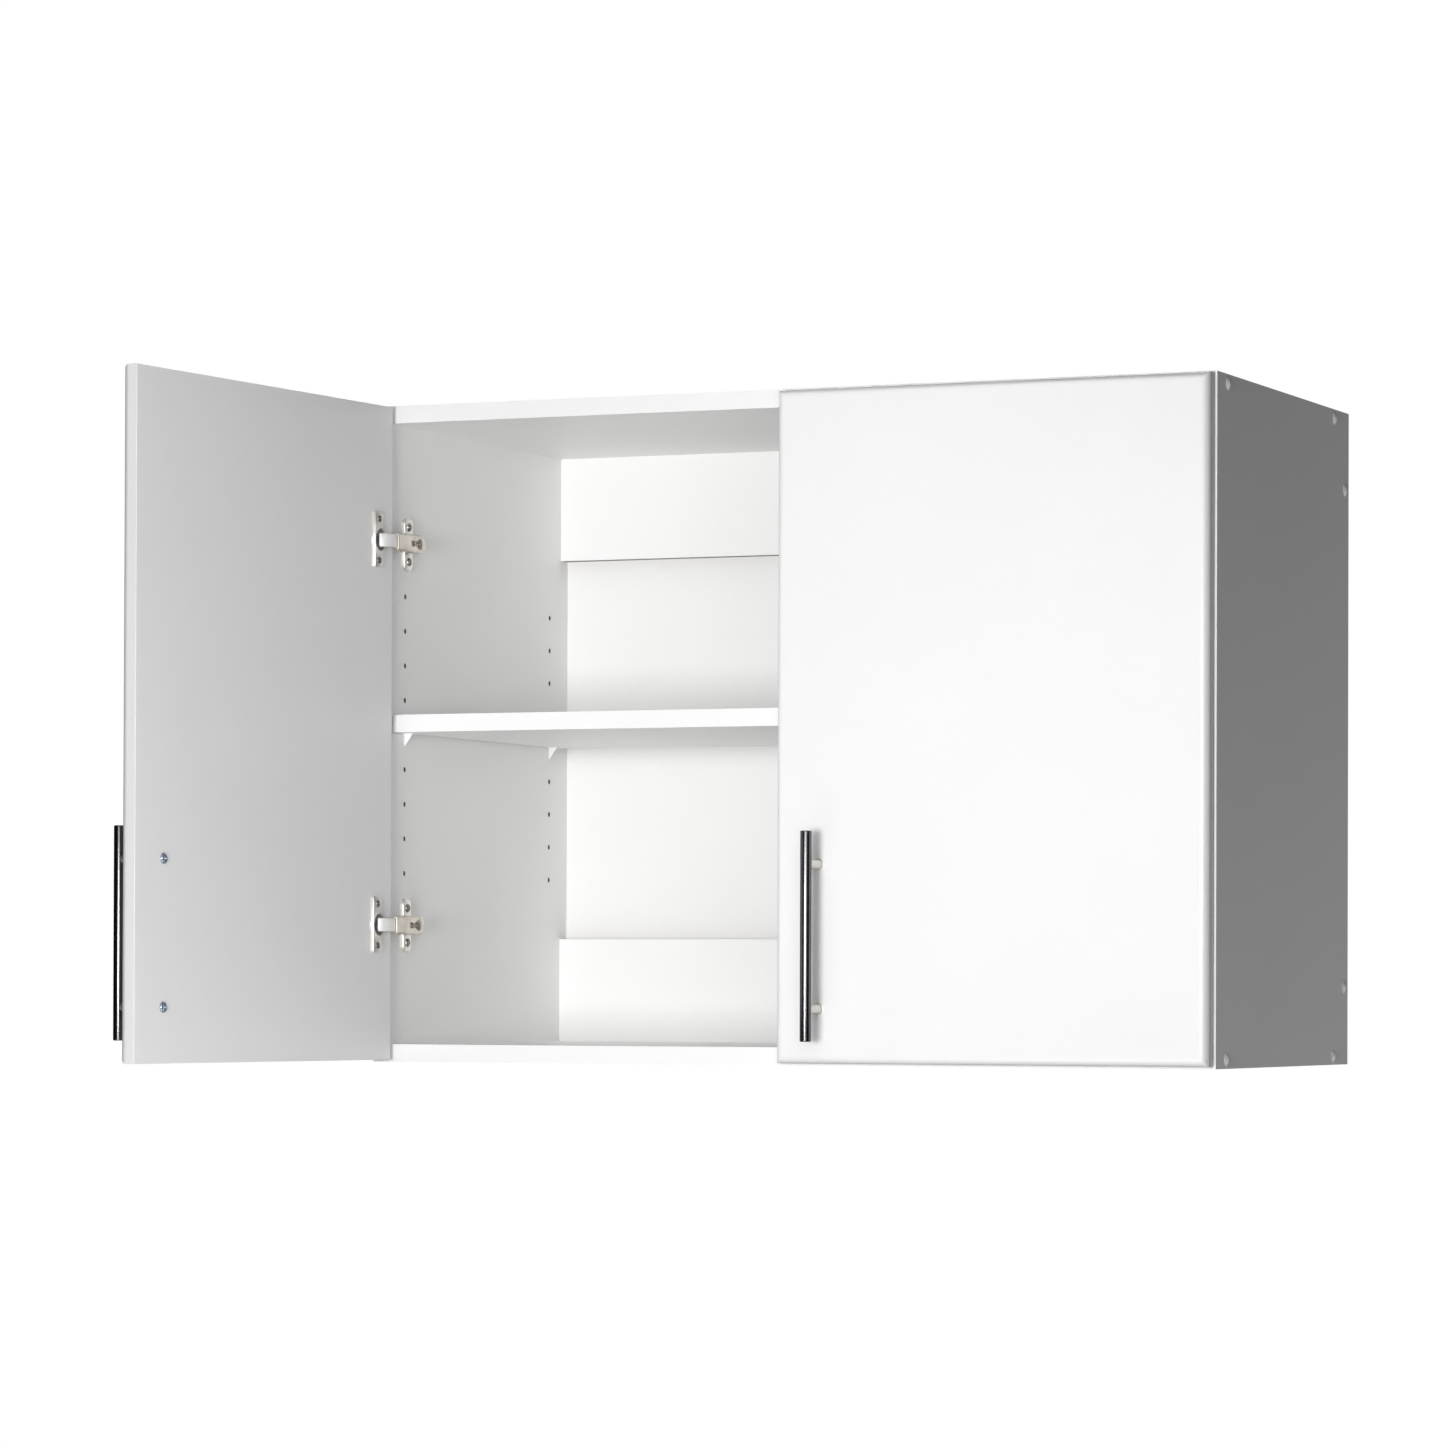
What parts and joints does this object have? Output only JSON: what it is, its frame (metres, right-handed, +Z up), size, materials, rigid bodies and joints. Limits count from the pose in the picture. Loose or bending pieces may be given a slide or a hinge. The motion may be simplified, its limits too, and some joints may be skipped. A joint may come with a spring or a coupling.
{
  "type": "hanging wall cabinet",
  "caption": "Wall-hung storage cabinet with swinging doors on concealed cup hinges, a lift-out adjustable shelf and steel bar handles.",
  "frame": {"origin": "centre of the back face, on the wall and at mid height, where the hole rows are counted from", "axes": "+X to the right seen from the room, +Y into the wall, +Z up"},
  "size_m": [0.8816, 0.7979, 0.603],
  "materials": {
    "melamine_board": "satin white melamine facing on particle board",
    "edge_banding": "satin white edge banding",
    "door_foil": "satin white foil wrapped door board",
    "back_board": "white lacquered fibreboard",
    "white_plastic": "moulded white plastic",
    "beech_dowel": "fluted beech",
    "brushed_steel": "brushed stainless bar",
    "zinc_screw": "zinc plated",
    "nickel_plate": "nickel plated pressed steel and die casting"
  },
  "bodies": {
    "carcass": {"arm_screws_left": "nickel_plate", "arm_screws_right": "nickel_plate", "assembly_screws_left": "zinc_screw", "assembly_screws_right": "zinc_screw", "back_nails": "zinc_screw", "back_panel": "back_board", "bottom_panel": "melamine_board", "cover_caps_left": "white_plastic", "cover_caps_right": "white_plastic", "dowels_left": "beech_dowel", "dowels_right": "beech_dowel", "edge_band_bottom": "edge_banding", "edge_band_side_left": "edge_banding", "edge_band_side_right": "edge_banding", "edge_band_top": "edge_banding", "hanging_rail": "melamine_board", "hinge_arm_left_lower": "nickel_plate", "hinge_arm_left_upper": "nickel_plate", "hinge_arm_right_lower": "nickel_plate", "hinge_arm_right_upper": "nickel_plate", "hinge_plate_left_lower": "nickel_plate", "hinge_plate_left_upper": "nickel_plate", "hinge_plate_right_lower": "nickel_plate", "hinge_plate_right_upper": "nickel_plate", "lower_rail": "melamine_board", "plate_screws_left": "nickel_plate", "plate_screws_right": "nickel_plate", "shelf_support_left_front": "white_plastic", "shelf_support_left_rear": "white_plastic", "shelf_support_right_front": "white_plastic", "shelf_support_right_rear": "white_plastic", "side_left": "melamine_board", "side_right": "melamine_board", "top_panel": "melamine_board"},
    "left_door": {"cup_screws_left": "nickel_plate", "door_left": "door_foil", "handle_bar_left": "brushed_steel", "handle_posts_left": "brushed_steel", "handle_screws_left": "zinc_screw", "hinge_cup_left_lower": "nickel_plate", "hinge_cup_left_upper": "nickel_plate"},
    "right_door": {"cup_screws_right": "nickel_plate", "door_right": "door_foil", "handle_bar_right": "brushed_steel", "handle_posts_right": "brushed_steel", "handle_screws_right": "zinc_screw", "hinge_cup_right_lower": "nickel_plate", "hinge_cup_right_upper": "nickel_plate"},
    "left_hinge_links": {"hinge_link_left_lower": "nickel_plate", "hinge_link_left_upper": "nickel_plate"},
    "right_hinge_links": {"hinge_link_right_lower": "nickel_plate", "hinge_link_right_upper": "nickel_plate"},
    "shelf": {"edge_band_shelf": "edge_banding", "shelf": "melamine_board"}
  },
  "joints": [
    {"name": "left_door_swing", "type": "hinge", "parent": "carcass", "child": "left_door", "pos_m": [-0.3977, -0.4026, 0], "axis": [0, 0, 1], "range_deg": [0, 96]},
    {"name": "right_door_swing", "type": "hinge", "parent": "carcass", "child": "right_door", "pos_m": [0.3977, -0.4026, 0], "axis": [0, 0, 1], "range_deg": [0, 96]},
    {"name": "left_links_swing", "type": "hinge", "parent": "carcass", "child": "left_hinge_links", "pos_m": [-0.3977, -0.4026, 0], "axis": [0, 0, 1], "range_deg": [0, 60]},
    {"name": "right_links_swing", "type": "hinge", "parent": "carcass", "child": "right_hinge_links", "pos_m": [0.3977, -0.4026, 0], "axis": [0, 0, 1], "range_deg": [0, 60]},
    {"name": "shelf_lift", "type": "slide", "parent": "carcass", "child": "shelf", "axis": [0, 0, 1], "range_m": [0, 0.032]}
  ],
  "couplings": [
    {"joint": "left_links_swing", "follows": "left_door_swing", "ratio": 0.625},
    {"joint": "right_links_swing", "follows": "right_door_swing", "ratio": 0.625}
  ]
}
